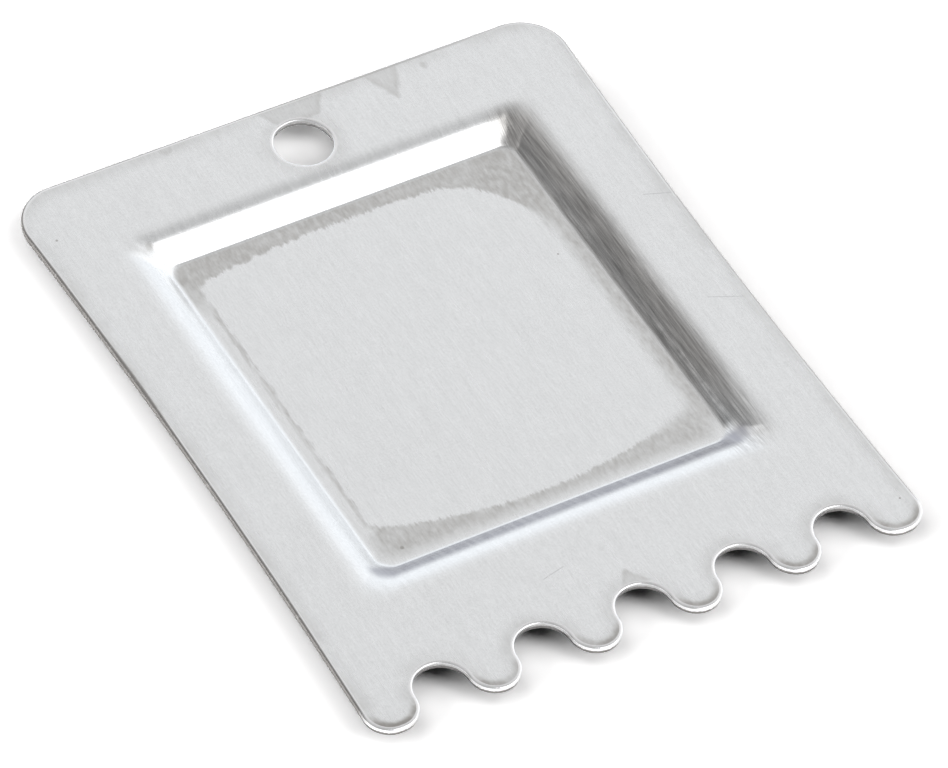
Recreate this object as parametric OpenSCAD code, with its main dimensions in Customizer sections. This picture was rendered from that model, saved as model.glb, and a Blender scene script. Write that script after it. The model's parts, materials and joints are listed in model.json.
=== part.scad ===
/* Grill scraper: one sheet of aluminium. Its edge is cut with round notches that ride on the
   ribs of a grill plate, and its middle is pressed down into a shallow tray to stiffen it.
   Origin: on the ground below the middle of the outline, +Y toward the hang hole, +Z up.
   The pressed floor lies on the ground and carries the rim above it. */

/* [Plate] */
// Length from the tooth tips to the hang end
plate_l = 85.6; // [80:0.1:120]
// Thickness of the sheet
sheet_t = 1; // [0.6:0.1:1.4]
// Radius of the two corners at the hang end
corner_r = 5.6; // [3:0.1:8]
// How far the pressing draws in the middle of each long side
side_draw = 0.8; // [0:0.1:1.2]

/* [Teeth] */
// Number of notches
notch_count = 5; // [5:1:7]
// Distance between the middles of two notches
tooth_pitch = 12.7; // [12:0.1:14]
// Width of a notch, which ends in a half circle
notch_w = 6.6; // [5:0.1:8]
// How much wider each end tooth is than the others
end_tooth_extra = 0.4; // [0.1:0.1:3]

/* [Hang hole] */
// Diameter of the hang hole
hang_hole_d = 6.9; // [4:0.1:7.4]
// Distance from the middle of the hole to the hang end
hang_hole_inset = 6.4; // [5:0.1:6.6]

/* [Pressed tray] */
// Width of the flat floor
floor_w = 44; // [36:0.1:47]
// Length of the flat floor
floor_l = 48.8; // [40:0.1:49.3]
// Radius of the floor's corners
floor_corner_r = 1.8; // [1:0.1:4]
// Radius of the tray's corners where the wall meets the rim
rim_corner_r = 2.6; // [1:0.1:5]
// Distance from the middle of the plate to the middle of the floor, toward the hang end
floor_shift = 3; // [1:0.1:3.2]
// Depth of the floor below the rim
tray_depth = 2.1; // [1.8:0.1:2.3]
// Slope of the tray's wall at its steepest
wall_angle = 40; // [32:1:43]
// Radius of the bend at the foot of the wall, on the upper face
foot_bend_r = 1; // [0.5:0.1:1.7]
// Radius of the wide shoulder between the wall and the rim, on the lower face
rim_bend_r = 5.6; // [1:0.1:6.3]

/* [Hidden] */
$fn = 96;
// Length by which a cut runs past what it cuts
overrun = 1;
// Width of flat rim that the tray carries, so that it overlaps the rim around it
bend_lap = 0.2;
// Steps along a drawn-in side, around a corner of the plate, around one of the tray, and in a bend
side_steps = 24;
corner_steps = 18;
tray_corner_steps = 6;
bend_steps = 7;

notch_r = notch_w / 2;
tooth_tip_r = (tooth_pitch - notch_w) / 2;
end_tooth_w = 2 * tooth_tip_r + end_tooth_extra;
plate_w = (notch_count - 1) * tooth_pitch + notch_w + 2 * end_tooth_w;

half_w = plate_w / 2;
half_l = plate_l / 2;
// Lines on which the notches meet the tips, and on which the corners at the hang end begin
tooth_line_y = tooth_tip_r - half_l;
corner_line_y = half_l - corner_r;
end_tip_x = notch_count * tooth_pitch / 2;

// Height that the two bends climb, the straight run between them, and the wall's width from above
bends_r = foot_bend_r + sheet_t + rim_bend_r;
straight_l = (tray_depth - bends_r * (1 - cos(wall_angle))) / sin(wall_angle);
wall_run = bends_r * sin(wall_angle) + straight_l * cos(wall_angle);

// Points on an arc from one angle to another
function arc_points(centre, r, from, to, steps) =
    [for (i = [0 : steps]) let (a = from + (to - from) * i / steps) centre + r * [cos(a), sin(a)]];

// Points mirrored to the other side of the plate, in the order that carries on around it
function mirrored(points) =
    [for (i = [len(points) - 1 : -1 : 0]) [-points[i][0], points[i][1]]];

// Half width of the plate at a place along its length
function side_x(y) = half_w - side_draw * (1 - pow(y / tooth_line_y, 2));

// Right half of the outline, from the tip of the end tooth round to the hang end
right_side = concat(
    [[end_tip_x, tooth_line_y], [end_tip_x, -half_l]],
    arc_points([half_w - tooth_tip_r, tooth_line_y], tooth_tip_r, -90, 0, corner_steps),
    [for (i = [1 : side_steps - 1])
        let (y = tooth_line_y + (corner_line_y - tooth_line_y) * i / side_steps) [side_x(y), y]],
    arc_points([side_x(corner_line_y) - corner_r, corner_line_y], corner_r, 0, 90, corner_steps)
);

// A rectangle with round corners, so far outside the edge of the tray's floor
function tray_outline(out) =
    let (
        r = floor_corner_r + (rim_corner_r - floor_corner_r) * out / wall_run,
        x = floor_w / 2 + out - r,
        y = floor_l / 2 + out - r
    )
    concat(
        arc_points([x, floor_shift + y], r, 0, 90, tray_corner_steps),
        arc_points([-x, floor_shift + y], r, 90, 180, tray_corner_steps),
        arc_points([-x, floor_shift - y], r, 180, 270, tray_corner_steps),
        arc_points([x, floor_shift - y], r, 270, 360, tray_corner_steps)
    );

// One face of the sheet from the floor up to the rim, as distances outside the floor and heights
function wall_face(foot_r, rim_r, rim_height) =
    concat(
        arc_points([0, sheet_t + foot_bend_r], foot_r, -90, wall_angle - 90, bend_steps),
        arc_points([wall_run, tray_depth - rim_bend_r], rim_r, wall_angle + 90, 90, bend_steps),
        [[wall_run + bend_lap, rim_height]]
    );

upper_face = wall_face(foot_bend_r, rim_bend_r + sheet_t, tray_depth + sheet_t);
lower_face = wall_face(foot_bend_r + sheet_t, rim_bend_r, tray_depth);
// Both faces as one run, up the upper one and back down the lower one
wall_section = concat(upper_face, [for (i = [len(lower_face) - 1 : -1 : 0]) lower_face[i]]);

// The outline of the blank, with its notches
module blank() {
    difference() {
        union() {
            polygon(concat(right_side, mirrored(right_side)));
            for (i = [0 : notch_count])
                translate([(i - notch_count / 2) * tooth_pitch, tooth_line_y])
                    circle(r = tooth_tip_r);
        }
        for (i = [0 : notch_count - 1])
            translate([(i - (notch_count - 1) / 2) * tooth_pitch, tooth_line_y])
                circle(r = notch_r);
    }
}

// The flat rim, open where the tray's wall begins
module rim() {
    translate([0, 0, tray_depth])
        linear_extrude(sheet_t)
            difference() {
                blank();
                polygon(tray_outline(wall_run + bend_lap / 2));
            }
}

// The pressed tray: its flat floor and the wall that climbs to the rim, ring by ring
module tray() {
    rings = len(wall_section);
    around = 4 * (tray_corner_steps + 1);
    polyhedron(
        points = [
            for (at = wall_section)
                for (point = tray_outline(at[0])) [point[0], point[1], at[1]]
        ],
        faces = concat(
            [[for (i = [around - 1 : -1 : 0]) i]],
            [
                for (ring = [0 : rings - 2])
                    for (i = [0 : around - 1])
                        let (start = ring * around, next = (i + 1) % around)
                            [start + i, start + next, start + around + next, start + around + i]
            ],
            [[for (i = [0 : around - 1]) (rings - 1) * around + i]]
        )
    );
}

module scraper_plate() {
    color([0.86, 0.87, 0.88])
        difference() {
            union() {
                rim();
                tray();
            }
            translate([0, half_l - hang_hole_inset, tray_depth - overrun])
                cylinder(d = hang_hole_d, h = sheet_t + 2 * overrun);
        }
}

scraper_plate();
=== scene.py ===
import json
from math import cos, pi, radians, sin, tan

import bpy
import numpy as np
from mathutils import Matrix, Vector
from mathutils.geometry import delaunay_2d_cdt


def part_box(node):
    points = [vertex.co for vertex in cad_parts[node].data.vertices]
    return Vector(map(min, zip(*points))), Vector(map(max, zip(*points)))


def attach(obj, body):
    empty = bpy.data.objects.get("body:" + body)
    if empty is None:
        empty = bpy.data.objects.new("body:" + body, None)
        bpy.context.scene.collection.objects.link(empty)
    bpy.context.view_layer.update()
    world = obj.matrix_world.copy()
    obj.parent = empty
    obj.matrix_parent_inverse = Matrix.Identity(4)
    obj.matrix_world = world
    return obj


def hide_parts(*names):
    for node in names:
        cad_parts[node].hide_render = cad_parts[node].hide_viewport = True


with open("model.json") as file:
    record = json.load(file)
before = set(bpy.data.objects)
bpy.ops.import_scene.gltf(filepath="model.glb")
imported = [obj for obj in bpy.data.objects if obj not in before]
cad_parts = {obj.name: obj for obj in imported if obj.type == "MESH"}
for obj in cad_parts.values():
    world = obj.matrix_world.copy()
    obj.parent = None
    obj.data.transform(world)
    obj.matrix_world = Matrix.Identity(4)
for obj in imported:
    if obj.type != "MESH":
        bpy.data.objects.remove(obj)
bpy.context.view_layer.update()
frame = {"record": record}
mm = 0.001

# The sheet before and after pressing, at the sizes of the CAD plate
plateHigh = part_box("scraper_plate")[1]
mounts = {mount["name"]: mount for mount in frame["record"]["mounts"]}
plate = {
    "halfWidth": plateHigh.x,
    "halfLength": plateHigh.y,
    "top": plateHigh.z,
    "sheet": 1.0 * mm,
    "hangCorner": 5.6 * mm,  # radius of the corners at the hang end
    "sideDraw": 0.8 * mm,  # how far the pressing pulls the long sides in
    "notches": 5,
    "notchWidth": 6.6 * mm,
    "pitch": 12.7 * mm,
    "holeY": mounts["hang_hole"]["pos_m"][1],
    "holeRadius": mounts["hang_hole"]["dims"]["r_mm"] * mm,
    "floorY": mounts["rest_face"]["pos_m"][1],
    "floorSize": (44 * mm, 48.8 * mm),
    "floorCorner": 1.8 * mm,
    "rimCorner": 2.6 * mm,  # the tray's corners where the wall meets the rim
    "wallAngle": radians(40),
    "footBend": 1.0 * mm,  # upper face
    "rimBend": 5.6 * mm,  # lower face
}

# How a punched edge looks close up, from its rolled upper lip down to the torn lower part
cutEdge = {
    "rollWidth": 0.42 * mm,
    "rollDrop": 0.12 * mm,
    "rollRows": 8,
    "shearRows": 3,
    "shearDepth": 0.50 * mm,  # depth at which the bright sheared band ends
    "ragged": 0.07 * mm,  # how far that line wanders up and down
    "tearStep": 0.9 * mm,  # length of one wander
    "undercut": 0.09 * mm,  # how far the torn part leans in
    "tornRows": ((0.4, 0.8, 0.8), (0.8, 0.45, 0.4)),  # shares of the undercut, the height and the wander
    "burrRadius": 0.04 * mm,
    "flatMargin": 0.7 * mm,  # a band of even quads beside every cut
    "arcStep": 0.25 * mm,
    "sideStep": 0.5 * mm,
    "closest": 0.02 * mm,  # a point nearer than this to the one before it is left out
    "seed": 11,
}

# Spacing of the points that carry the bends, waves and dents
blankMesh = {
    "gridStep": 0.8 * mm,
    "rowShare": 0.866,  # rows lie this much closer than the points in them, so that the triangles are even
    "looseRoom": 0.3,  # room around points that are already there, as a share of the step
    "gridRoom": 0.55,
    "wallRows": 34,
    "wallStep": 0.7 * mm,
    "wallSpan": (-0.3 * mm, 4.5 * mm),  # rings of points, measured out from the tray's floor
    "shoulderSpan": (4.85 * mm, 5.2 * mm, 5.6 * mm, 6.1 * mm),  # loose rings, where there is room for them
    "cornerSteps": 12,
    "sharpAngle": radians(38),
    "planScale": 10,  # UV units in a metre
}

# The bent wall, seen from above: how far it reaches and how fast its corners widen
bends = plate["footBend"] + plate["sheet"] + plate["rimBend"]
climb = plateHigh.z - plate["sheet"] - bends * (1 - cos(plate["wallAngle"]))
wallRun = bends * sin(plate["wallAngle"]) + climb / tan(plate["wallAngle"])
cornerGrowth = (plate["rimCorner"] - plate["floorCorner"]) / wallRun


def newObject(name, data):
    made = bpy.data.objects.new(name, data)
    bpy.context.scene.collection.objects.link(made)
    return made


def arc(centre, radius, start, end, step):
    count = max(4, round(abs(end - start) * radius / step))
    angles = [start + (end - start) * i / count for i in range(count + 1)]
    return [(centre[0] + radius * cos(a), centre[1] + radius * sin(a)) for a in angles]


def sideX(y, lineY):
    return plate["halfWidth"] - plate["sideDraw"] * (1 - (y / lineY) ** 2)


def plateOutline():  # anticlockwise, along the teeth first
    step, notches, pitch = cutEdge["arcStep"], plate["notches"], plate["pitch"]
    notchR = plate["notchWidth"] / 2
    tipR = pitch / 2 - notchR
    lineY = tipR - plate["halfLength"]
    hangY = plate["halfLength"] - plate["hangCorner"]
    cornerX = sideX(hangY, lineY) - plate["hangCorner"]
    endX = plate["halfWidth"] - tipR
    points = arc((-endX, lineY), tipR, pi, 1.5 * pi, step)
    for tooth in range(notches + 1):
        x = (tooth - notches / 2) * pitch
        start = 1.5 * pi if tooth == 0 else pi
        end = 1.5 * pi if tooth == notches else 2 * pi
        points += arc((x, lineY), tipR, start, end, step)
        if tooth < notches:
            points += arc((x + pitch / 2, lineY), notchR, pi, 0, step)
    points += arc((endX, lineY), tipR, 1.5 * pi, 2 * pi, step)
    rise = np.linspace(lineY, hangY, round((hangY - lineY) / cutEdge["sideStep"]))
    points += [(sideX(y, lineY), y) for y in rise]
    points += arc((cornerX, hangY), plate["hangCorner"], 0, pi / 2, step)
    across = np.linspace(cornerX, -cornerX, round(2 * cornerX / cutEdge["sideStep"]))
    points += [(x, plate["halfLength"]) for x in across]
    points += arc((-cornerX, hangY), plate["hangCorner"], pi / 2, pi, step)
    points += [(-sideX(y, lineY), y) for y in rise[::-1]]
    points = np.array(points)
    apart = np.linalg.norm(points - np.roll(points, 1, axis=0), axis=1)
    return points[apart > cutEdge["closest"]]


def hangHole():  # clockwise, so that its outward side is the hole
    points = arc((0, plate["holeY"]), plate["holeRadius"], 2 * pi, 0, cutEdge["arcStep"])
    return np.array(points[:-1])


def outwardNormals(loop):  # the material lies to the left of the loop
    along = np.roll(loop, -1, axis=0) - np.roll(loop, 1, axis=0)
    along /= np.linalg.norm(along, axis=1)[:, None]
    return np.stack([along[:, 1], -along[:, 0]], axis=1)


def trayLoop(out):  # a rounded rectangle, so far outside the edge of the tray's floor
    r = plate["floorCorner"] + cornerGrowth * out
    halfX, halfY = plate["floorSize"][0] / 2 + out - r, plate["floorSize"][1] / 2 + out - r
    points, normals = [], []
    corners = [(1, 1), (-1, 1), (-1, -1), (1, -1)]
    steps = blankMesh["cornerSteps"]
    for turn, (sx, sy) in enumerate(corners):
        for i in range(steps + 1):
            a = (turn + i / steps) * pi / 2
            points.append((sx * halfX, sy * halfY))
            normals.append((cos(a), sin(a)))
        count = round(plate["floorSize"][turn % 2] / blankMesh["wallStep"])  # the same on every ring
        nextX, nextY = corners[(turn + 1) % 4]
        for i in range(1, count):
            share = i / count
            points.append((halfX * (sx + (nextX - sx) * share), halfY * (sy + (nextY - sy) * share)))
            normals.append((cos((turn + 1) * pi / 2), sin((turn + 1) * pi / 2)))
    points = np.array(points) + np.array(normals) * r
    return points + np.array([0, plate["floorY"]])


def cutRows():  # (inset, height, share of the ragged tear) from the flat upper face to the flat lower one
    t, width, drop = plate["sheet"], cutEdge["rollWidth"], cutEdge["rollDrop"]
    rows = [(cutEdge["flatMargin"], t, 0), ((cutEdge["flatMargin"] + width) / 2, t, 0)]
    for i in range(cutEdge["rollRows"] + 1):
        a = i / cutEdge["rollRows"] * pi / 2
        rows.append((width * (1 - sin(a)), t - drop * (1 - cos(a)), 0))
    shearEnd = t - cutEdge["shearDepth"]
    for i in range(1, cutEdge["shearRows"] + 1):
        share = i / cutEdge["shearRows"]
        rows.append((0, t - drop + (shearEnd - t + drop) * share, share ** 2))
    under, burr = cutEdge["undercut"], cutEdge["burrRadius"]
    rows += [(under * inward, shearEnd * up, wander) for inward, up, wander in cutEdge["tornRows"]]
    rows += [(under, burr, 0), (under + burr, 0, 0), (cutEdge["flatMargin"], 0, 0)]
    return rows


def raggedLine(loop, random):  # a value from -1 to 1 for each point, wandering along the cut
    lengths = np.linalg.norm(np.roll(loop, -1, axis=0) - loop, axis=1)
    along = np.cumsum(lengths) - lengths
    knots = random.uniform(-1, 1, round(lengths.sum() / cutEdge["tearStep"]))
    places = along / lengths.sum() * len(knots)
    return np.interp(places, np.arange(len(knots) + 1), np.append(knots, knots[0]))


def inside(points, loop):  # even-odd test of many points against one loop
    ax, ay = loop[:, 0], loop[:, 1]
    bx, by = np.roll(ax, -1), np.roll(ay, -1)
    x, y = points[:, 0][:, None], points[:, 1][:, None]
    straddles = (ay > y) != (by > y)
    rise = np.where(by == ay, 1, by - ay)
    return (straddles & (x < (bx - ax) * (y - ay) / rise + ax)).sum(axis=1) % 2 == 1


class sheetMesh:  # gathers loops of points and joins them into one closed sheet
    def __init__(self):
        self.points, self.faces, self.cut = [], [], []

    def addLoop(self, loop, height):
        first = len(self.points)
        self.points += [(x, y, z) for (x, y), z in zip(loop, np.broadcast_to(height, len(loop)))]
        return list(range(first, len(self.points)))

    def joinLoops(self, a, b, cut):
        for i in range(len(a)):
            j = (i + 1) % len(a)
            self.faces.append((a[i], b[i], b[j], a[j]))
            self.cut.append(cut)

    def fill(self, outer, holes, upward, loose=()):  # triangles between loops, over a grid of points
        ring = np.array([self.points[i][:2] for i in outer])
        holeRings = [np.array([self.points[i][:2] for i in hole]) for hole in holes]
        height = self.points[outer[0]][2]
        step = blankMesh["gridStep"]
        low, high = ring.min(axis=0), ring.max(axis=0)
        xs = np.arange(low[0], high[0], step)
        ys = np.arange(low[1], high[1], step * blankMesh["rowShare"])
        grid = np.array([(x + (row % 2) * step / 2, y) for row, y in enumerate(ys) for x in xs])
        taken = np.concatenate([ring] + holeRings)
        kept = []
        rooms = [blankMesh["looseRoom"]] * len(loose) + [blankMesh["gridRoom"]]
        for points, room in zip([*loose, grid], rooms):
            away = np.array([np.linalg.norm(taken - point, axis=1).min() for point in points])
            keep = inside(points, ring) & (away > step * room)
            for hole in holeRings:
                keep &= ~inside(points, hole)
            kept.append(points[keep])
            taken = np.concatenate([taken, kept[-1]])
        grid = np.concatenate(kept)
        loops = [outer] + list(holes)
        indices = [i for loop in loops for i in loop]
        first = len(self.points)
        self.points += [(x, y, height) for x, y in grid]
        indices += range(first, len(self.points))
        edges, start = [], 0
        for loop in loops:
            edges += [(start + i, start + (i + 1) % len(loop)) for i in range(len(loop))]
            start += len(loop)
        scale = 1000  # the triangulation's own tolerance suits millimetres
        flat = [Vector((self.points[i][0] * scale, self.points[i][1] * scale)) for i in indices]
        triangles = delaunay_2d_cdt(flat, edges, [], 0, 1e-7)[2]
        places = np.array([[self.points[indices[i]][:2] for i in triangle] for triangle in triangles])
        middle = places.mean(axis=1)
        good = inside(middle, ring)
        for hole in holeRings:
            good &= ~inside(middle, hole)
        for triangle, ok in zip(triangles, good):
            if ok:
                corners = [indices[i] for i in triangle]
                self.faces.append(tuple(corners if upward else corners[::-1]))
                self.cut.append(False)


def flatBlank():  # the punched blank, still flat, standing on z = 0
    sheet = sheetMesh()
    faceLoops = {}
    rows = cutRows()
    random = np.random.default_rng(cutEdge["seed"])
    for name, loop in (("outline", plateOutline()), ("hole", hangHole())):
        normals = outwardNormals(loop)
        tear = raggedLine(loop, random) * cutEdge["ragged"]
        rings = [sheet.addLoop(loop - normals * inset, z + tear * share) for inset, z, share in rows]
        for row in range(len(rows) - 1):
            sheet.joinLoops(rings[row], rings[row + 1], 1 < row < len(rows) - 2)
        faceLoops[name] = (rings[0], rings[-1])
    low, high = blankMesh["wallSpan"]
    outs = np.linspace(high, low, blankMesh["wallRows"] + 1)
    loose = [trayLoop(out) for out in blankMesh["shoulderSpan"]]
    for upward, height in ((True, plate["sheet"]), (False, 0)):
        rings = [sheet.addLoop(trayLoop(out), height) for out in outs]
        for a, b in zip(rings, rings[1:]):
            sheet.joinLoops(*((b, a) if upward else (a, b)), False)
        side = 0 if upward else 1
        hole = faceLoops["hole"][side]
        sheet.fill(faceLoops["outline"][side], [hole, rings[0]], upward, loose)
        sheet.fill(rings[-1], [], upward)
    mesh = bpy.data.meshes.new("flatBlank")
    mesh.from_pydata(sheet.points, [], sheet.faces)
    mesh.attributes.new("cutBand", "BOOLEAN", "FACE").data.foreach_set("value", sheet.cut)
    points = np.array(sheet.points)[:, :2]
    toCut = np.full(len(points), np.inf)
    for place in np.concatenate([plateOutline(), hangHole()]):
        toCut = np.minimum(toCut, np.hypot(*(points - place).T))
    mesh.attributes.new("toCut", "FLOAT", "POINT").data.foreach_set("value", toCut / mm)
    mesh.shade_smooth()
    print("flat blank:", len(sheet.points), "points,", len(sheet.faces), "faces")
    print("tray wall:", round(wallRun / mm, 2), "mm wide")
    return newObject("flatBlank", mesh)


class nodeValue:  # what a node puts out, so that sums of such values read as sums and make their own nodes
    def __init__(self, tree, socket):
        self.tree, self.socket = tree, socket

    def work(self, operation, *values):
        return calc(operation, *values)

    def __add__(self, other):
        return self.work("ADD", self, other)

    def __radd__(self, other):
        return self.work("ADD", other, self)

    def __sub__(self, other):
        return self.work("SUBTRACT", self, other)

    def __rsub__(self, other):
        return self.work("SUBTRACT", other, self)

    def __mul__(self, other):
        return self.work("MULTIPLY", self, other)

    def __rmul__(self, other):
        return self.work("MULTIPLY", other, self)

    def __truediv__(self, other):
        return self.work("DIVIDE", self, other)

    def __rtruediv__(self, other):
        return self.work("DIVIDE", other, self)


class nodeVector(nodeValue):  # the same for a place, a direction or a colour. It comes first in a product
    def work(self, operation, *values):
        return vectorCalc(operation, *values)


def wrapped(tree, socket):
    return (nodeVector if socket.type in ("VECTOR", "RGBA") else nodeValue)(tree, socket)


def outputsOf(tree, node):
    return {socket.name: wrapped(tree, socket) for socket in node.outputs}


def link(value, socket):  # joins a node's value to a socket, or sets the socket
    if isinstance(value, nodeValue):
        value.tree.links.new(value.socket, socket)
    elif socket.type == "VECTOR" and isinstance(value, (int, float)):
        socket.default_value = (value,) * 3
    elif socket.type == "RGBA":
        socket.default_value = (*value, 1)
    else:
        socket.default_value = value


def add(tree, kind, **settings):
    node = tree.nodes.new(kind)
    for name, value in settings.items():
        setattr(node, name, value)
    return node


def addLinked(kind, values, **settings):  # a node in the tree of its values, which are its first inputs
    tree = next(value.tree for value in values if isinstance(value, nodeValue))
    node = add(tree, kind, **settings)
    for socket, value in zip(node.inputs, values):
        link(value, socket)
    return tree, node


def calc(operation, *values):
    tree, node = addLinked("ShaderNodeMath", values, operation=operation)
    return wrapped(tree, node.outputs[0])


def vectorCalc(operation, *values):
    tree, node = addLinked("ShaderNodeVectorMath", values, operation=operation)
    measured = operation in ("DISTANCE", "DOT_PRODUCT")
    return wrapped(tree, node.outputs["Value" if measured else "Vector"])


def most(first, *others):
    for other in others:
        first = calc("MAXIMUM", first, other)
    return first


def least(first, *others):
    for other in others:
        first = calc("MINIMUM", first, other)
    return first


def parts(vector):
    tree, node = addLinked("ShaderNodeSeparateXYZ", [vector])
    return [wrapped(tree, socket) for socket in node.outputs]


def combined(x, y, z):
    tree, node = addLinked("ShaderNodeCombineXYZ", [x, y, z])
    return wrapped(tree, node.outputs[0])


def ramp(value, start, end, low=0.0, high=1.0, kind="LINEAR"):  # low at the start and high at the end
    tree, node = addLinked("ShaderNodeMapRange", [value, start, end, low, high], interpolation_type=kind)
    return wrapped(tree, node.outputs["Result"])


def ease(value, start, end, low=0.0, high=1.0):  # the same with soft ends
    return ramp(value, start, end, low, high, "SMOOTHSTEP")


def noise(place, scale, detail=2.0, seed=None):  # from -1 to 1
    node = add(place.tree, "ShaderNodeTexNoise", noise_dimensions="3D" if seed is None else "4D")
    for name, value in (("Vector", place), ("Scale", scale), ("Detail", detail), ("W", seed)):
        if value is not None:
            link(value, node.inputs[name])
    return (wrapped(place.tree, node.outputs[0]) - 0.5) * 2


# The press: how the die shapes the blank
press = {
    "footLead": 0.9 * mm,  # how far before its bend the floor begins to rise
    "nearShift": 0.3 * mm,  # how much further in the wall beside the teeth has its foot
    "nearStart": (-1.8 * mm, -0.3 * mm),  # where that begins, past the end of the floor
    "nearReach": (2.4 * mm, 0.2 * mm),  # and how far up the wall it is felt
    "waveHeight": 0.035 * mm,  # slow waves that the rolled sheet keeps
    "waveLength": 26 * mm,
    "floorCrown": 0.05 * mm,  # the floor springs up a little in its middle
    "puckerHeight": 0.10 * mm,  # small folds where the die gathers the sheet at the tray's corners
    "puckers": 2.6,  # how closely they follow each other around a corner
    "puckerChange": 0.3 / mm,  # how fast they change on their way up the wall
    "puckerCorner": (-0.8 * mm, 0.6 * mm),
    "puckerStart": (0.5 * mm, 1.8 * mm),
    "puckerEnd": (5.0 * mm, 3.4 * mm),
    "cornerDraws": 3.1,  # keeps the folds of the four corners apart in the noise
    "seed": 4.0,
}


def passThrough(geometry, node, **inputs):
    for name, value in {"Geometry": geometry, **inputs}.items():
        link(value, node.inputs[name])
    return wrapped(geometry.tree, node.outputs["Geometry"])


def pressTree(sheetMaterial, edgeMaterial):
    tree = bpy.data.node_groups.new("pressedSheet", "GeometryNodeTree")
    face = tree.interface
    face.new_socket("Geometry", in_out="INPUT", socket_type="NodeSocketGeometry")
    sizes = {
        "Tray Depth": plateHigh.z - plate["sheet"],
        "Sheet Thickness": plate["sheet"],
        "Floor Width": plate["floorSize"][0],
        "Floor Length": plate["floorSize"][1],
        "Floor Corner": plate["floorCorner"],
        "Corner Growth": cornerGrowth,
        "Floor Shift": plate["floorY"],
        "Wall Angle": plate["wallAngle"],
        "Wall Run": wallRun,
        "Foot Bend": plate["footBend"],
        "Rim Bend": plate["rimBend"],
        "Foot Lead": press["footLead"],
        "Near Shift": press["nearShift"],
        "Wave Height": press["waveHeight"],
        "Wave Length": press["waveLength"],
        "Floor Crown": press["floorCrown"],
        "Pucker Height": press["puckerHeight"],
        "Puckers": press["puckers"],
        "Seed": press["seed"],
    }
    sockets = {name: face.new_socket(name, in_out="INPUT", socket_type="NodeSocketFloat") for name in sizes}
    face.new_socket("Geometry", in_out="OUTPUT", socket_type="NodeSocketGeometry")
    given = outputsOf(tree, add(tree, "NodeGroupInput"))
    x, y, z = parts(outputsOf(tree, add(tree, "GeometryNodeInputPosition"))["Position"])

    # Distance outside the tray's floor: along a straight side, or by the round corner that reaches the point
    r, growth, run = given["Floor Corner"], given["Corner Growth"], given["Wall Run"]
    halfLength = given["Floor Length"] / 2
    fromMiddle = calc("ABSOLUTE", y - given["Floor Shift"])
    pastX = calc("ABSOLUTE", x) - given["Floor Width"] / 2
    pastY = fromMiddle - halfLength
    straight = most(pastX, pastY)
    u, v = pastX + r, pastY + r
    drift = 1 - growth
    first = drift * drift * 2 - growth * growth
    second = drift * (u + v) + growth * r
    third = u * u + v * v - r * r
    rounded = (second - calc("SQRT", second * second - first * third)) / first
    atCorner = calc("GREATER_THAN", least(u, v), drift * straight)
    out = straight + atCorner * (rounded - straight)

    # Beside the teeth the wall has its foot further in
    pastNear = given["Floor Shift"] - halfLength - y
    shift = given["Near Shift"] * ease(pastNear, *press["nearStart"])
    out = out + shift * ease(out, *press["nearReach"])

    # The upper and the lower face bend around the same centres, a sheet's thickness apart
    thickness, angle = given["Sheet Thickness"], given["Wall Angle"]
    thickAbove = calc("GREATER_THAN", z, thickness / 2) * thickness
    footR = given["Foot Bend"] + (thickness - thickAbove)
    rimR = given["Rim Bend"] + thickAbove
    footEnd = footR * calc("SINE", angle)
    rimStart = run - rimR * calc("SINE", angle)

    def arcRise(radius, along):  # how far an arc has risen, so far from where it is level
        return radius - calc("SQRT", radius * radius - along * along)

    footRise = arcRise(footR, least(calc("SMOOTH_MAX", out, 0.0, given["Foot Lead"]), footEnd))
    wallRise = (least(most(out, footEnd), rimStart) - footEnd) * calc("TANGENT", angle)
    toGo = run - least(most(out, rimStart), run)
    rimRise = arcRise(rimR, run - rimStart) - arcRise(rimR, toGo)
    rise = footRise + wallRise + rimRise

    # Slow waves in the rim, and a crown on the floor
    wave = noise(combined(x, y, 0), 1 / given["Wave Length"], 1.0, given["Seed"]) * given["Wave Height"]
    crownX = calc("COSINE", x / given["Floor Width"] * pi)
    crownY = calc("COSINE", fromMiddle / given["Floor Length"] * pi)
    shareUp = rise / given["Tray Depth"]
    lift = wave * shareUp + crownX * crownY * given["Floor Crown"] * (1 - shareUp)

    # Small folds that fan out across the wall at each corner
    turn = calc("ARCTAN2", pastY, pastX) * given["Puckers"]
    whichCorner = calc("SIGN", x) * press["cornerDraws"] + calc("SIGN", y)
    folds = noise(combined(turn, out * press["puckerChange"], whichCorner), 1.0, 2.0, given["Seed"])
    atFold = ease(least(pastX, pastY), *press["puckerCorner"])
    atFold = atFold * ease(out, *press["puckerStart"]) * ease(out, *press["puckerEnd"])
    lift = lift + folds * given["Pucker Height"] * atFold

    # The distance is kept for the finish, and the cut has a material of its own
    keep = add(tree, "GeometryNodeStoreNamedAttribute", data_type="FLOAT", domain="POINT")
    cutBand = add(tree, "GeometryNodeInputNamedAttribute", data_type="BOOLEAN")
    link("cutBand", cutBand.inputs["Name"])
    onCut = wrapped(tree, cutBand.outputs["Attribute"])
    sheet = passThrough(given["Geometry"], keep, Name="fromFloor", Value=out / mm)
    sheet = passThrough(sheet, add(tree, "GeometryNodeSetPosition"), Offset=combined(0, 0, rise + lift))
    sheet = passThrough(sheet, add(tree, "GeometryNodeRealizeInstances"))
    sheet = passThrough(sheet, add(tree, "GeometryNodeSetMaterial"), Material=sheetMaterial)
    sheet = passThrough(sheet, add(tree, "GeometryNodeSetMaterial"), Material=edgeMaterial, Selection=onCut)
    link(sheet, add(tree, "NodeGroupOutput").inputs[0])
    return tree, {sockets[name].identifier: value for name, value in sizes.items()}


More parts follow.
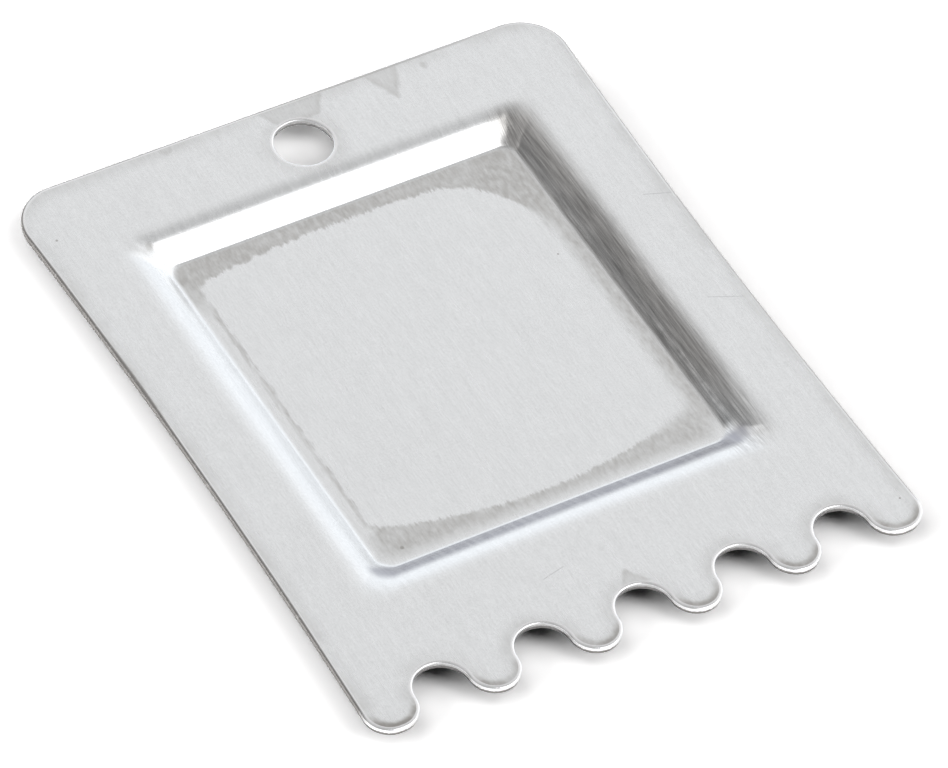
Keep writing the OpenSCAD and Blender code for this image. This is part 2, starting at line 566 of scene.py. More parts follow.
def pressPlate(sheetMaterial, edgeMaterial):
    blank = flatBlank()
    tree, values = pressTree(sheetMaterial, edgeMaterial)
    modifier = blank.modifiers.new("press", "NODES")
    modifier.node_group = tree
    for identifier, value in values.items():
        modifier[identifier] = value
    pressed = blank.evaluated_get(bpy.context.evaluated_depsgraph_get())
    mesh = bpy.data.meshes.new_from_object(pressed)
    mesh.name = "pressedPlate"
    blank.modifiers.clear()
    bpy.data.objects.remove(blank)
    mesh.set_sharp_from_angle(angle=blankMesh["sharpAngle"])

    # A plan of the plate as its UV map, along which the rolled lines run
    plan = mesh.uv_layers.new(name="plan")
    corners = np.empty(len(mesh.loops), int)
    mesh.loops.foreach_get("vertex_index", corners)
    places = np.empty(len(mesh.vertices) * 3)
    mesh.vertices.foreach_get("co", places)
    plan.data.foreach_set("uv", (places.reshape(-1, 3)[corners, :2] * blankMesh["planScale"]).ravel())
    print("pressed plate:", len(mesh.vertices), "points")
    return newObject("pressedPlate", mesh)


# Shader groups that the finishes share. Places in them are in millimetres
def shaderGroup(name, inputs, outputs):
    tree = bpy.data.node_groups.new(name, "ShaderNodeTree")
    for socketName, (kind, value) in inputs.items():
        socket = tree.interface.new_socket(socketName, in_out="INPUT", socket_type="NodeSocket" + kind)
        socket.default_value = value
    for socketName in outputs:
        tree.interface.new_socket(socketName, in_out="OUTPUT", socket_type="NodeSocketFloat")
    return tree, outputsOf(tree, add(tree, "NodeGroupInput")), add(tree, "NodeGroupOutput").inputs


def useGroup(group, place, **values):
    node = add(place.tree, "ShaderNodeGroup", node_tree=group)
    for name, value in {"Place": place, **values}.items():
        link(value, node.inputs[name])
    return outputsOf(place.tree, node)


groupShapes = {
    "fine": (1.0, 1.5),  # scale and detail of the two sets of streaks
    "broad": (0.23, 1.0),
    "wander": (1.0, 3.0),
    "smallest": 0.3,  # share of the size that the smallest specks have
    "speckRim": (1.1, 0.7),
}


def streaksGroup():  # lines that a roll or a punch leaves, drawn out by a different spacing on each axis
    tree, given, result = shaderGroup("drawnStreaks", {
        "Place": ("Vector", (0, 0, 0)), "Spacing": ("Vector", (1, 1, 1)),
    }, ["Fine", "Broad"])
    place = given["Place"] / given["Spacing"]
    link(noise(place, *groupShapes["fine"]), result["Fine"])
    link(noise(place, *groupShapes["broad"]), result["Broad"])
    return tree


def raggedMaskGroup():  # 1 inside a shape and 0 outside it, with a wandering edge, from the distance outside
    tree, given, result = shaderGroup("raggedMask", {
        "Place": ("Vector", (0, 0, 0)), "Distance": ("Float", 0), "Wander": ("Float", 0.2),
        "Grain": ("Vector", (1, 1, 1)), "Softness": ("Float", 0.1),
    }, ["Mask"])
    wander = noise(given["Place"] / given["Grain"], *groupShapes["wander"]) * given["Wander"]
    link(ease((given["Distance"] + wander) / given["Softness"], 1.0, -1.0), result["Mask"])
    return tree


def specksGroup():  # sparse round specks of many sizes
    tree, given, result = shaderGroup("sparseSpecks", {
        "Place": ("Vector", (0, 0, 0)),
        "Apart": ("Float", 4), "Size": ("Float", 0.15), "Share": ("Float", 0.2),
    }, ["Mask"])
    cells = add(tree, "ShaderNodeTexVoronoi")
    link(given["Place"] / given["Apart"], cells.inputs["Vector"])
    link(1.0, cells.inputs["Scale"])
    found = outputsOf(tree, cells)
    chance, bigness, _ = parts(found["Color"])
    radius = given["Size"] * (bigness + groupShapes["smallest"])
    spread = ease(found["Distance"] * given["Apart"] / radius, *groupShapes["speckRim"])
    link(spread * calc("LESS_THAN", chance, given["Share"]), result["Mask"])
    return tree


streaks, raggedMask, specks = streaksGroup(), raggedMaskGroup(), specksGroup()


def newMaterial(name):  # with its shader and the place on the plate, in millimetres
    material = bpy.data.materials.new(name)
    material.use_nodes = True
    tree = material.node_tree
    place = outputsOf(tree, add(tree, "ShaderNodeTexCoord"))["Object"] * 1000
    return material, tree.nodes["Principled BSDF"], place


def mixed(kind, inputs, output, *values):  # sockets by number, as those for every kind have the same names
    node = add(values[0].tree, "ShaderNodeMix", data_type=kind)
    for number, value in zip(inputs, values):
        link(value, node.inputs[number])
    return wrapped(values[0].tree, node.outputs[output])


def mixColour(factor, first, second):
    return mixed("RGBA", (0, 6, 7), 2, factor, first, second)


def mixValue(factor, first, second):
    return mixed("FLOAT", (0, 2, 3), 0, factor, first, second)


def addBump(shader, height, distance):
    bump = add(height.tree, "ShaderNodeBump")
    link(distance, bump.inputs["Distance"])
    link(height, bump.inputs["Height"])
    height.tree.links.new(bump.outputs[0], shader.inputs["Normal"])


def blotches(place, scale, detail, start, end, low=0.0, high=1.0):  # a span of a noise, as two values
    return ramp(noise(place, scale, detail), start, end, low, high)


def awayFrom(place, spot):  # distance from a spot, seen from above
    return vectorCalc("DISTANCE", place * (1, 1, 0), (*spot, 0))


# The finish of the sheet. Places in it are in millimetres from the middle of the plate, and a pair of them
# is where an effect begins and where it is complete

# The middle of the tray floor stayed clean inside a dull, oxidised border
border = {
    "onFloor": (0.4, -0.2),  # distances outside the floor
    "sides": (-20.4, 20.3),  # of the clean part
    "ends": (-19.0, 25.6),
    "bow": (3.4, 1.5),  # how far the two ends curve in beside their middle
    "rounding": 2.5,
    "cut": ((0.8, 0.6), 26.6, 5.0),  # the corner that the border cuts off: direction, distance and rounding
    "depth": {"left": 0.08, "right": 0.8, "near": 0.8, "far": 0.95},  # how dull it is beyond its inner line
    "leftFar": (17.5, 23.5, 0.7),  # towards the hang end the left side grows this dull
    "blend": {"left": (-1.2, -0.2), "right": (-3.0, -0.3), "far": (-1.6, -0.3)},  # where a side takes over
    "rightStretch": ((13.0, 18.0), (20.0, 14.0)),  # x and y of a stretch on the right where the line is soft
    "rightShift": 0.2,  # and lies so much further out
    "softness": (0.25, 0.85),  # of the inner line, and how much more there
    "feather": (0.22, 2.6, 1.0),  # spacing of the lines along which the inner line is drawn out
    "featherLength": 0.6,
    "edge": {"Wander": 0.55, "Grain": (0.8, 2.0, 1.0)},
    "patches": ((0.55, 1.3, 1.0), 0.8, 0.95),  # their spacing, how much they vary and around what
    "tideWidth": 0.9,  # a darker tide mark along the inner line
    "tideDepth": 0.85,
    "footFade": (-0.1, -1.9, 0.15),  # the near part of the border grows paler towards the wall
}


def dullBorder(place, x, y, fromFloor):
    left, right = border["sides"]
    near, far = border["ends"]
    nearBow, farBow = border["bow"]
    (cutX, cutY), cutAt, cutRounding = border["cut"]
    squared = calc("POWER", calc("ABSOLUTE", x) / right, 2.0)
    pastLeft, pastRight = left - x, x - right
    pastNear = near + squared * nearBow - y
    pastFar = y + squared * farBow - far
    pastCut = x * cutX + y * cutY - cutAt
    outside = pastLeft
    for past in (pastNear, pastFar, pastRight):
        outside = calc("SMOOTH_MAX", outside, past, border["rounding"])
    outside = calc("SMOOTH_MAX", outside, pastCut, cutRounding)

    # How dull it is on each side
    depths, blend = border["depth"], border["blend"]
    fadeStart, fadeEnd, faded = border["footFade"]
    farStart, farEnd, farDepth = border["leftFar"]
    depth = ramp(fromFloor, fadeStart, fadeEnd, faded, 1.0) * depths["near"]
    depth = mixValue(ease(pastRight - outside, *blend["right"]), depth, depths["right"])
    leftDepth = ease(y, farStart, farEnd, depths["left"], farDepth)
    depth = mixValue(ease(pastLeft - outside, *blend["left"]), depth, leftDepth)
    depth = mixValue(ease(most(pastFar, pastCut) - outside, *blend["far"]), depth, depths["far"])

    # Its inner line, drawn out along the rolled lines, with a tide mark but for the right side
    alongX, alongY = border["rightStretch"]
    onRight = ease(x, *alongX) * ease(y, *alongY)
    feather = useGroup(streaks, place, Spacing=border["feather"])["Fine"]
    outside = outside - onRight * border["rightShift"] + feather * border["featherLength"]
    crisp, softer = border["softness"]
    softness = onRight * softer + crisp
    clean = useGroup(raggedMask, place, Distance=outside, Softness=softness, **border["edge"])
    tide = ease(outside, border["tideWidth"], 0.0) * border["tideDepth"] * (1 - onRight)
    spacing, change, around = border["patches"]
    patches = noise(place / spacing, 1.0, 4.0) * change + around
    return (1 - clean["Mask"]) * ease(fromFloor, *border["onFloor"]) * (most(depth, tide) * patches)


# Dull wedges: middle of the base, half width there and at the tip, and height towards +Y or -Y. Round spots,
# of which the last is a painted shadow beside a fold at the tray's corner
marks = {
    "wedges": (
        (13.3, 42.8, 2.5, 0.1, -4.9),
        (1.4, 42.8, 4.4, 2.6, -3.4),
        (0.6, -36.6, 1.9, 0.1, 2.4),
    ),
    # the last spot is a painted shadow where the sheet folds at the tray's corner
    "spots": ((-14.8, 42.5, 1.1), (18.3, 41.2, 0.45), (-23.3, 30.2, 0.5)),
    "edge": {"Wander": 0.5, "Grain": (0.9, 1.6, 1.0), "Softness": 0.35},
    "depth": (0.42, 0.22),  # in the middle of a mark, and how much more at its rim
    "rim": (-1.1, -0.2),
}


def wedge(x, y, middle, base, baseHalf, tipHalf, height):  # distance outside one dull wedge
    up = (y - base) / height
    half = up * (tipHalf - baseHalf) + baseHalf
    return most(calc("ABSOLUTE", x - middle) - half, most(up - 1, up * -1) * abs(height))


def dullMarksAndShadow(place, x, y):
    shapes = [wedge(x, y, *sizes) for sizes in marks["wedges"]]
    # the spots include one painted shadow at the tray's corner
    shapes += [awayFrom(place, spot) - radius for *spot, radius in marks["spots"]]
    nearest = least(*shapes)
    shape = useGroup(raggedMask, place, Distance=nearest, **marks["edge"])
    middle, more = marks["depth"]
    return shape["Mask"] * (ease(nearest, *marks["rim"]) * more + middle)


# What use has done to the outer edge and the tips of the teeth, and painted shade on the rolled lip
wear = {
    "handledDepth": 0.22,
    "handled": (2.6, 0.2),  # distances from the cut
    "handledPatches": (0.22, 4.0, -0.35, 0.45, 0.5, 2.5),  # scale, detail, span and values of the noise
    "blots": (0.33, 3.0, -0.35, 0.15),
    "blotShift": (17.0, 4.0, 0),
    "smallBlots": (1.6, 3.0, -0.5, 0.3, 0.45, 1.0),
    "smudge": ((-38.6, -41.2), (1.7, 0.45), 0.9, 0.45),  # y, distances from the cut, how blotchy and how dull
    "grime": ((-40.2, -41.6), (1.25, 0.6), 0.5, 0.5),  # just inside the lip
    "grimeLeft": (-20.0, -28.0, 0.55),  # strongest on the tip at the left
    "grimeColour": (0.30, 0.28, 0.26),
    "grimeDepth": 0.8,
    "lip": (0.75, 0.35),
    "lipDepth": 0.55,  # painted shade: how dull and dark the lip is along the hang end and the long right side
    "hangEnd": (41.0, 42.2),
    "rightSide": ((32.6, 33.4), (-38.0, -34.0)),
}


def onTips(y, toCut, blots, alongY, fromCut, blotchy, plain):  # a patchy film on the tips of the teeth
    return ease(y, *alongY) * ease(toCut, *fromCut) * (blots * blotchy + plain)


def handlingAndLipShade(place, x, y, toCut):  # how dull use leaves the sheet, with painted shade on the lip, and where grime has gathered
    patchy = blotches(place, *wear["handledPatches"])
    handled = ease(toCut, *wear["handled"]) * wear["handledDepth"] * patchy
    blots = blotches(place + wear["blotShift"], *wear["blots"]) * blotches(place, *wear["smallBlots"])
    smudge = onTips(y, toCut, blots, *wear["smudge"])
    start, end, lowest = wear["grimeLeft"]
    grime = onTips(y, toCut, blots, *wear["grime"]) * ramp(x, start, end, lowest, 1.0) * wear["grimeDepth"]
    rightX, rightY = wear["rightSide"]
    # painted shade on the lip along the hang end and the long right side
    shadedSides = most(ramp(y, *wear["hangEnd"]), ramp(x, *rightX) * ramp(y, *rightY))
    lip = ease(toCut, *wear["lip"]) * shadedSides * wear["lipDepth"]
    return most(handled, smudge, lip), grime


# Small marks: places and radii of single flecks, and both ends of each scratch
nicks = {
    "specks": {"Apart": 7.0, "Size": 0.11, "Share": 0.16},
    "flecks": (
        (-32.4, 35.2, 0.20), (18.7, 10.6, 0.16), (-18.7, -19.4, 0.30), (-34.4, -13.4, 0.30),
        (33.4, -38.7, 0.16),
    ),
    "fleckColour": (0.30, 0.28, 0.26),
    "fleckDepth": 0.6,
    "scratches": (
        ((29.6, -3.9), (33.4, -5.6)), ((31.0, 12.7), (35.0, 11.3)), ((-8.0, -31.5), (-5.2, -30.9)),
    ),
    "scratchWidth": 0.10,
    "scratchColour": (0.50, 0.50, 0.51),
    "scratchDepth": 0.5,
    "scratchCut": 3.0,  # how deep they are, in depths of the grain
}


def scratch(place, start, end):  # distance from a straight line between two places
    along = Vector(end) - Vector(start)
    fromStart = place * (1, 1, 0) - (*start, 0)
    share = ramp(vectorCalc("DOT_PRODUCT", fromStart, (*along, 0)) / along.length_squared, 0, 1)
    return vectorCalc("DISTANCE", fromStart, combined(share * along.x, share * along.y, 0))


def smallMarks(place):  # dark flecks, and scratches
    dark = useGroup(specks, place, **nicks["specks"])["Mask"]
    for *spot, radius in nicks["flecks"]:
        dark = most(dark, ease(awayFrom(place, spot), radius, radius / 2))
    lines = [ramp(scratch(place, *ends), nicks["scratchWidth"], 0.0) for ends in nicks["scratches"]]
    return dark, most(*lines)


# What the die left: a scored right wall with a pale rubbed line, its darker tint partly dirt and partly a
# painted dark reflection, and a painted dark reflection band at the foot of the near wall
scoring = {
    "furrows": (0.13, 3.4, 1.0),
    "furrowTone": 0.66,
    "broadShare": 0.6,
    "colour": (0.63, 0.61, 0.59),  # how the dirt and a painted dark reflection tint that wall
    "nearFade": (-21.0, -12.0, 0.4),
    "lineWidth": (0.9, 1.45),
    "lineEnds": ((-19.5, -18.0), (0.5, -3.5)),
    "lineX": (21.0, 22.0),
    "lineBreaks": ((9.0, 1.1, 9.0), -0.5, 0.3),
    "lineRoughness": 0.3,
    # a painted dark reflection band at the foot of the near wall: where it begins and ends out from the
    # floor, and along y
    "crease": ((0.25, 0.6), (2.7, 1.5), (-20.4, -21.8)),
    "creaseDepth": (0.92, 0.3),  # and how much it varies
    "creaseColour": (0.42, 0.42, 0.455),
}


def paintedReflectionBand(fromFloor, y, broad):  # painted dark reflection: a bluish dark band at the foot of the wall beside the teeth
    inner, outer, nearEnd = scoring["crease"]
    depth, change = scoring["creaseDepth"]
    return ease(fromFloor, *inner) * ease(fromFloor, *outer) * ease(y, *nearEnd) * (broad * change + depth)


def rubbedLine(place, x, y, fromFloor):
    low, high = scoring["lineWidth"]
    near, far = scoring["lineEnds"]
    spacing, start, end = scoring["lineBreaks"]
    middle = (low + high) / 2
    line = ramp(fromFloor, low, middle) * ramp(fromFloor, high, middle)
    line = line * (ramp(y, *near) * ramp(y, *far)) * ramp(x, *scoring["lineX"])
    return line * blotches(place / spacing, 1.0, 2.0, start, end)


def scoredTintAndReflection(place, y, onRightWall):
    lines = useGroup(streaks, place, Spacing=scoring["furrows"])
    furrows = (lines["Fine"] + lines["Broad"] * scoring["broadShare"]) * scoring["furrowTone"] * onRightWall
    start, end, faded = scoring["nearFade"]
    # Painted dark reflection together with dirt: the right wall is darkened, less towards the near end
    dirtAndPaintedReflection = onRightWall * ramp(y, start, end, faded, 1.0)
    return mixColour(dirtAndPaintedReflection, (1, 1, 1), scoring["colour"]) * (furrows + 1)


# The rolled sheet itself
rolled = {
    "colour": (0.886, 0.895, 0.902),
    "roughness": 0.26,
    "anisotropy": 0.6,
    "grain": (0.10, 1.3, 1.0),  # spacing of the rolling lines across, along and through the sheet
    "grainTone": 0.09,
    "broadTone": 0.05,
    "broadRoughness": 0.03,
    "grainDepth": 0.0000010,
    "wallCalm": 0.6,  # how much fainter the lines are on the walls that the die didn't score
    "speckle": (4.0, 2.0, 0.08),  # scale, detail and strength of the fine mottling
    "cloud": (0.5, 3.0, 0.03),
    # also the colour of the painted shade on the lip and of the painted shadow at the tray's corner
    "dullColour": (0.575, 0.565, 0.55),
    "dullRoughness": 0.36,
    "mottle": (0.35, 3.0, 0.25, 0.92),  # the same for the dull places, and around what they vary
    "onWall": ((0.0, 0.6), (5.0, 2.6)),  # distances outside the floor
    "rightWall": (20.0, 22.5),
}


def bareSheet():
    material, shader, place = newMaterial("rolledAluminium")
    tree = place.tree
    x, y, _ = parts(place)
    fromFloor = outputsOf(tree, add(tree, "ShaderNodeAttribute", attribute_name="fromFloor"))["Fac"]
    toCut = outputsOf(tree, add(tree, "ShaderNodeAttribute", attribute_name="toCut"))["Fac"]
    lines = useGroup(streaks, place, Spacing=rolled["grain"])
    wallStart, wallEnd = rolled["onWall"]
    onWall = ramp(fromFloor, *wallStart) * ease(fromFloor, *wallEnd)
    onRightWall = onWall * ramp(x, *rolled["rightWall"])
    # the first value holds painted shade on the lip as well as wear
    handled, grime = handlingAndLipShade(place, x, y, toCut)
    # dull places, with the painted shade on the lip and the painted shadow at the tray's corner
    dullAndShade = most(dullBorder(place, x, y, fromFloor), dullMarksAndShadow(place, x, y), handled)
    scale, detail, change, around = rolled["mottle"]
    dullAndShade = dullAndShade * (noise(place, scale, detail) * change + around)
    dark, scratched = smallMarks(place)

    # The tone of the rolled lines and the mottling, and then each colour over the one before
    contrast = 1 - (onWall - onRightWall) * rolled["wallCalm"] + dullAndShade
    tone = lines["Fine"] * contrast * rolled["grainTone"] + lines["Broad"] * rolled["broadTone"] + 1
    for scale, detail, strength in (rolled["speckle"], rolled["cloud"]):
        tone = tone + noise(place, scale, detail) * strength
    base = mixColour(dullAndShade, rolled["colour"], rolled["dullColour"]) * tone
    # painted dark reflection and dirt on the right wall, with its scoring
    base = base * scoredTintAndReflection(place, y, onRightWall)
    # the painted dark reflection band at the foot of the near wall
    base = mixColour(paintedReflectionBand(fromFloor, y, lines["Broad"]), base, scoring["creaseColour"])
    base = mixColour(grime, base, wear["grimeColour"])
    base = mixColour(dark * nicks["fleckDepth"], base, nicks["fleckColour"])
    base = mixColour(scratched * nicks["scratchDepth"], base, nicks["scratchColour"])
    link(base, shader.inputs["Base Color"])

    rough = mixValue(dullAndShade, rolled["roughness"], rolled["dullRoughness"])
    rough = rough + lines["Broad"] * rolled["broadRoughness"]
    rough = rough + rubbedLine(place, x, y, fromFloor) * scoring["lineRoughness"]
    link(rough, shader.inputs["Roughness"])
    addBump(shader, lines["Fine"] - scratched * nicks["scratchCut"], rolled["grainDepth"])
    along = add(tree, "ShaderNodeTangent", direction_type="UV_MAP", uv_map="plan")
    tree.links.new(along.outputs[0], shader.inputs["Tangent"])
    shader.inputs["Metallic"].default_value = 1.0
    shader.inputs["Anisotropic"].default_value = rolled["anisotropy"]
    print("finish:", material.name)
    return material


# The cut edge: bright where the punch sheared it and grey where it tore, the torn part darkened further as
# painted shade. The long sides are duller, and darker in part as painted shade
cut = {
    "bright": (0.90, 0.90, 0.905),
    # the torn part: a dull fracture, darkened further as painted shade below the bright band
    "torn": (0.12, 0.112, 0.108),
    "wornTorn": (0.34, 0.33, 0.32),
    "notchWall": (0.46, 0.455, 0.45),  # the ends of the notches, darker and streaky
    "notchY": (-38.6, -37.4),
    "notchX": (30.5, 29.5),
    "notchDepth": (0.10, 0.22),  # below the upper face
    "notchStreaks": (-0.7, 0.3, 1.0, 0.45),
    # the long sides and the hang end's lip: a rough, dull cut, darkened further as painted shade
    "side": (0.27, 0.255, 0.24),
    "sideFleck": (0.52, 0.51, 0.49),
    "sideFlecks": (0.2, 0.7),  # the span of the broad streaks that shows as flecks
    "farSide": (0.50, 0.49, 0.48),  # lighter towards the right
    "farX": (-30.0, 20.0),
    "sideX": (32.0, 33.2),
    "sideY": (-40.4, -38.4),
    "hangY": (41.0, 41.6),
    "hangLip": (0.12, 0.02),  # at the hang end only the lip is dull and darker, in part as painted shade
    "lipStart": (0.002, 0.02),
    "sideShare": 0.9,
    "sideRoughness": 0.4,
    "brightRoughness": 0.2,
    "tornRoughness": 0.5,
    "tear": {"Wander": 0.16, "Grain": (0.35, 0.35, 4.0), "Softness": 0.08},
    "streaks": (0.10, 0.10, 1.2),  # upright lines
    "streakDepth": 0.000004,
    "pits": {"Apart": 0.9, "Size": 0.10, "Share": 0.3},
    "pitColour": (0.14, 0.125, 0.12),
    "pitDepth": 0.6,
}


def shearedEdge():
    material, shader, place = newMaterial("shearedAluminium")
    x, y, z = parts(place)
    fromMiddle = calc("ABSOLUTE", x)
    down = plate["top"] / mm - z
    lines = useGroup(streaks, place, Spacing=cut["streaks"])
    pastBand = down - cutEdge["shearDepth"] / mm
    sheared = useGroup(raggedMask, place, Distance=pastBand, **cut["tear"])["Mask"]
    # the torn part, darkened in part as painted shade
    torn = mixColour(lines["Fine"] * 0.5 + 0.5, cut["torn"], cut["wornTorn"])
    base = mixColour(sheared, torn, cut["bright"])

    # The long sides and the lip of the hang end: dull and darker, in part as painted shade
    longSide = ramp(fromMiddle, *cut["sideX"]) * ramp(y, *cut["sideY"])
    hangEnd = ramp(y, *cut["hangY"]) * ramp(down, *cut["hangLip"])
    onDullShadedSide = most(longSide, hangEnd) * ramp(down, *cut["lipStart"])
    side = mixColour(ramp(lines["Broad"], *cut["sideFlecks"]), cut["side"], cut["sideFleck"])
    side = mixColour(ramp(x, *cut["farX"]), side, cut["farSide"])
    # the darker side colour, in part painted shade
    base = mixColour(onDullShadedSide * cut["sideShare"], base, side)

    # The darker, streaky ends of the notches, and pits in the torn part
    atNotchEnds = ease(y, *cut["notchY"]) * ramp(fromMiddle, *cut["notchX"]) * ease(down, *cut["notchDepth"])
    base = mixColour(atNotchEnds * ramp(lines["Fine"], *cut["notchStreaks"]), base, cut["notchWall"])
    pits = useGroup(specks, place, **cut["pits"])["Mask"] * (1 - sheared)
    base = mixColour(pits * cut["pitDepth"], base, cut["pitColour"])
    link(base, shader.inputs["Base Color"])
    rough = mixValue(sheared, cut["tornRoughness"], cut["brightRoughness"])
    link(most(rough, onDullShadedSide * cut["sideRoughness"]), shader.inputs["Roughness"])
    addBump(shader, lines["Fine"], cut["streakDepth"])
    shader.inputs["Metallic"].default_value = 1.0
    print("finish:", material.name)
    return material


piece = pressPlate(bareSheet(), shearedEdge())
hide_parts("scraper_plate")
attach(piece, "root")

# The photograph's view: where the camera stands, seen from the plate, and how it is turned
view = {
    "azimuth": radians(-35.48),
    "elevation": radians(48.38),
    "roll": radians(7.33),
    "distance": 920.5 * mm,
    "aside": (1.20 * mm, -2.76 * mm),
    "focalPixels": 8284,
    "imageWidth": 948,
    "sensorWidth": 36,
    "clip": (0.05, 20),
}


def makeCamera():
    az, el, roll = view["azimuth"], view["elevation"], view["roll"]
    back = Vector((sin(az) * cos(el), -cos(az) * cos(el), sin(el)))
    right = Vector((cos(az), sin(az), 0))
    up = back.cross(right)
    across = right * cos(roll) + up * sin(roll)
    rise = up * cos(roll) - right * sin(roll)
    data = bpy.data.cameras.new("camera")
    data.sensor_width = view["sensorWidth"]
    data.lens = view["focalPixels"] * data.sensor_width / view["imageWidth"]
    data.clip_start, data.clip_end = view["clip"]
    camera = newObject("camera", data)
    middle = Vector((0, 0, plate["top"]))
    place = middle + back * view["distance"] + across * view["aside"][0] + rise * view["aside"][1]
    turn = Matrix((across, rise, back)).transposed().to_4x4()
    camera.matrix_world = Matrix.Translation(place) @ turn
    bpy.context.scene.camera = camera


makeCamera()


# The studio. The softbox shows in the metal, and the others light only what isn't metal
lamps = {
    "softbox": {"direction": (0, -0.452, 0.892), "aside": 0.78, "size": (1.25, 1.25), "radiance": 1.46},
    "topLight": {"direction": (0, 0, 1), "size": (0.9, 0.9), "level": 0.07},
    "rightLow": {"direction": (0.62, -0.62, 0.47), "size": (0.8, 0.4), "level": 0.22},
    "rightHigh": {"direction": (0.35, -0.35, 0.87), "size": (0.9, 0.8), "level": 0.19},
    "leftLow": {"direction": (-0.88, 0, 0.47), "size": (0.8, 0.4), "level": 0.17},
    "leftHigh": {"direction": (-0.42, 0, 0.91), "size": (0.9, 0.8), "level": 0.07},
    "backLow": {"direction": (-0.48, 0.82, 0.31), "size": (0.8, 0.26), "level": 0.17},
    "backHigh": {"direction": (-0.35, 0.35, 0.87), "size": (0.9, 0.8), "level": 0.11},
}
lampDistance = 1.3


def placeLamps():
    for name, values in lamps.items():
        data = bpy.data.lights.new(name, "AREA")
        data.shape = "RECTANGLE"
        data.size, data.size_y = values["size"]
        lamp = newObject(name, data)
        away = Vector(values["direction"]).normalized()
        if "radiance" in values:  # how bright it looks
            data.energy = values["radiance"] * data.size * data.size_y * pi
            lamp.visible_diffuse = False
        else:  # how much of a white floor's brightness it gives
            data.energy = values["level"] * (pi * lampDistance) ** 2 / away.z
            lamp.visible_glossy = False
        turn = away.to_track_quat("Z", "Y").to_matrix()
        place = away * lampDistance + Vector((values.get("aside", 0), 0, 0))
        lamp.matrix_world = Matrix.Translation(place) @ turn.to_4x4()


placeLamps()

# The room that the metal shows. A place in it is a direction from the plate, and a span is of the cosine
# of the angle from there, or of the direction's height, x or y
studio = {
    "tones": (  # by height
        (0, 0.68), (0.3, 0.72), (0.5, 0.76), (0.62, 0.79),
        (0.75, 0.815), (0.86, 0.735), (0.93, 0.69), (1, 0.66),
    ),
    "toneRoom": 2,  # the curve holds values up to 1, so the tones go in divided by this
    "lowTint": (0.965, 0.995, 1.03),
    "highTint": (1.0, 1.0, 1.0),
    "tintHeight": (0.35, 0.7),
    "glow": (0.50, 0.866, 0),  # light from low on one side
    "glowSpan": (0.42, 0.80),
    "glowHeight": (0.70, 0.28),
    "glowLevel": 0.35,
    "window": (0.80, 0.16, 0.58),
    "windowSpan": (0.89, 0.975),
    "windowShare": 0.45,
    "darkCorner": (-0.74, 0.55, 0.38),
    "darkSpan": (0.45, 0.86),
    "darkShare": 0.63,
    "darkStart": (0.34, 0.46),  # the y between which it lies
    "darkEnd": (0.68, 0.58),
    "ceilingSpan": (0.50, 0.20),  # where the ceiling darkens towards the front
    "ceilingHeight": (0.6, 0.85),
    "ceilingX": (0.62, 0.46),
    "ceilingShare": 0.34,
}


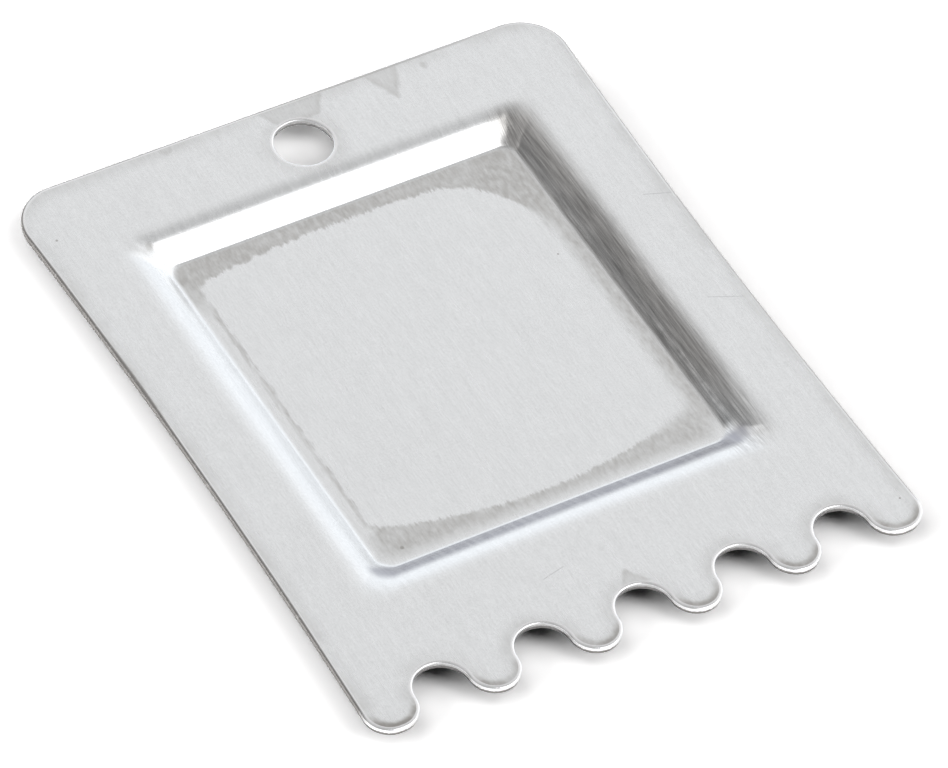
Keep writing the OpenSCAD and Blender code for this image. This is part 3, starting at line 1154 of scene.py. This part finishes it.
def makeWorld():
    world = bpy.data.worlds.new("studio")
    world.use_nodes = True
    world.cycles_visibility.diffuse = False
    bpy.context.scene.world = world
    tree = world.node_tree
    tree.nodes.clear()
    direction = outputsOf(tree, add(tree, "ShaderNodeTexCoord"))["Generated"]
    x, y, z = parts(direction)
    height = most(z, 0)
    tones = add(tree, "ShaderNodeFloatCurve")
    points = tones.mapping.curves[0].points
    for number, (place, level) in enumerate(studio["tones"]):
        if number < 2:
            points[number].location = (place, level / studio["toneRoom"])
        else:
            points.new(place, level / studio["toneRoom"])
    tones.mapping.update()
    link(height, tones.inputs["Value"])
    level = wrapped(tree, tones.outputs[0]) * studio["toneRoom"]

    def towards(name, direction):  # cosine of the angle from a place in the room
        return vectorCalc("DOT_PRODUCT", direction, Vector(studio[name]).normalized())

    onLevel = vectorCalc("NORMALIZE", direction * (1, 1, 0))
    glow = ease(towards("glow", onLevel), *studio["glowSpan"], 0.0, studio["glowLevel"])
    level = level + glow * ease(height, *studio["glowHeight"])
    level = level * (ease(towards("window", direction), *studio["windowSpan"]) * studio["windowShare"] + 1)
    dark = ease(towards("darkCorner", direction), *studio["darkSpan"]) * studio["darkShare"]
    dark = dark * ease(y, *studio["darkStart"]) * ease(y, *studio["darkEnd"])
    ceiling = ramp(y, *studio["ceilingSpan"]) * studio["ceilingShare"]
    ceiling = ceiling * ease(height, *studio["ceilingHeight"]) * ease(x, *studio["ceilingX"])
    tint = mixColour(ramp(height, *studio["tintHeight"]), studio["lowTint"], studio["highTint"])

    room = add(tree, "ShaderNodeBackground")
    link(tint * (level * (1 - dark) * (1 - ceiling)), room.inputs["Color"])
    white = add(tree, "ShaderNodeBackground")
    link((1, 1, 1), white.inputs["Color"])
    mix = add(tree, "ShaderNodeMixShader")
    link(outputsOf(tree, add(tree, "ShaderNodeLightPath"))["Is Camera Ray"], mix.inputs[0])
    tree.links.new(room.outputs[0], mix.inputs[1])
    tree.links.new(white.outputs[0], mix.inputs[2])
    tree.links.new(mix.outputs[0], add(tree, "ShaderNodeOutputWorld").inputs[0])


makeWorld()

paper = {
    "half": 6.0,
    "drop": 0.03 * mm,  # just below the plate's lowest face
    "colour": (0.10, 0.10, 0.10),
    "seenColour": (1.56, 1.55, 1.55),  # as the camera and the metal see it, white where it is lit
    "fibres": (0.8, 4.0, 0.01),
}


def makeFloor():
    mesh = bpy.data.meshes.new("paperFloor")
    half, z = paper["half"], -paper["drop"]
    corners = [(-half, -half, z), (half, -half, z), (half, half, z), (-half, half, z)]
    mesh.from_pydata(corners, [], [(0, 1, 2, 3)])
    floor = newObject("paperFloor", mesh)
    material, shader, place = newMaterial("whitePaper")
    tree = place.tree
    tree.nodes.remove(shader)
    path = outputsOf(tree, add(tree, "ShaderNodeLightPath"))
    seen = most(path["Is Camera Ray"], path["Is Glossy Ray"])
    seen = seen * calc("LESS_THAN", path["Diffuse Depth"], 0.5)
    scale, detail, change = paper["fibres"]
    diffuse = add(tree, "ShaderNodeBsdfDiffuse")
    fibres = noise(place, scale, detail) * change + 1
    link(mixColour(seen, paper["colour"], paper["seenColour"]) * fibres, diffuse.inputs["Color"])
    tree.links.new(diffuse.outputs[0], tree.nodes["Material Output"].inputs["Surface"])
    mesh.materials.append(material)
    print("floor and lights are in place")


makeFloor()

bpy.context.scene.view_settings.view_transform = "Standard"
